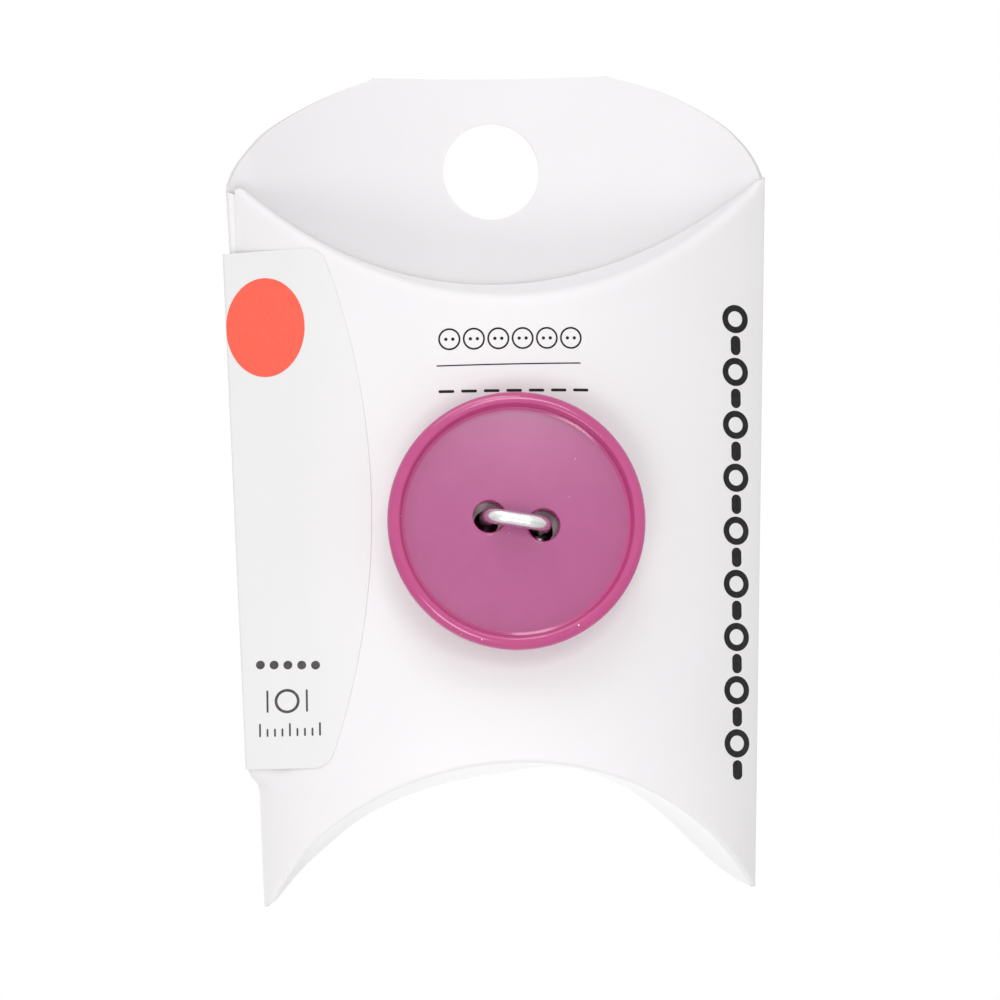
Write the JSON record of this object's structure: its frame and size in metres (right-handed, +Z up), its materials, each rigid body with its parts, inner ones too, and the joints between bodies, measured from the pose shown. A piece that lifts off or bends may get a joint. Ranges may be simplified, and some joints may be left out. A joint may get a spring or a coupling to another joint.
{
  "type": "card of buttons",
  "caption": "White pillow-shaped paperboard pack with a hang tab, a plum two-hole button wired to its bowed front and a paper label folded round one side.",
  "frame": {"origin": "centre of the hang hole, halfway through the board of the hang tab", "axes": "+Z up as the pack hangs, -Y out of the bowed front with its tied button, +Y back along the peg through the hang hole, +X to the right seen from the front"},
  "size_m": [0.0436, 0.0239, 0.0655],
  "materials": {
    "carton_board": "satin",
    "button_plastic": "satin",
    "tie_wire": "bright",
    "label_paper": "satin"
  },
  "bodies": {
    "root": {"carton": "carton_board", "display_button": "button_plastic", "tie_wire": "tie_wire", "label": "label_paper", "spare_button_1": "button_plastic", "spare_button_2": "button_plastic", "spare_button_3": "button_plastic", "spare_button_4": "button_plastic"}
  },
  "joints": []
}
